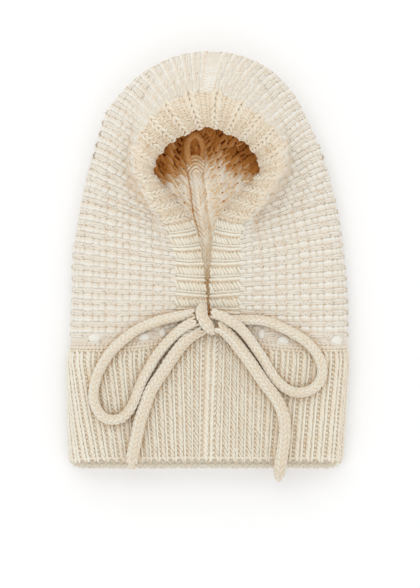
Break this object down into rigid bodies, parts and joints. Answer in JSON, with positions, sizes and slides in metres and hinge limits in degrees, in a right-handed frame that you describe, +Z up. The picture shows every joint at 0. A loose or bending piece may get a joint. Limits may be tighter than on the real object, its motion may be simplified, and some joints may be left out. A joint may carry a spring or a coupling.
{
  "type": "knitted hood",
  "caption": "Chunky knitted wool hood with a ribbed face band, a ribbed neck collar and a knitted drawstring tied in a bow, laid on its back with the face opening up.",
  "frame": {"origin": "on the table under the middle of the hood, its drawstring left out", "axes": "+Z up through the face opening, +Y to the crown, -Y to the neck hem, +X to the right of the laid hood seen from above"},
  "size_m": [0.258, 0.3889, 0.0973],
  "materials": {
    "body_wool": "thick cream roving with a thin beige strand, chunky slip stitch knit",
    "rib_wool": "cream beige plied wool in single and double rib",
    "cord_wool": "cream beige plied wool, knitted round cord"
  },
  "bodies": {
    "root": {"hood_body": "body_wool", "back_seam": "body_wool", "face_band": "rib_wool", "neck_collar": "rib_wool", "left_loop": "cord_wool", "left_tail": "cord_wool", "right_loop": "cord_wool", "right_tail": "cord_wool", "bow_knot": "cord_wool"}
  },
  "joints": []
}
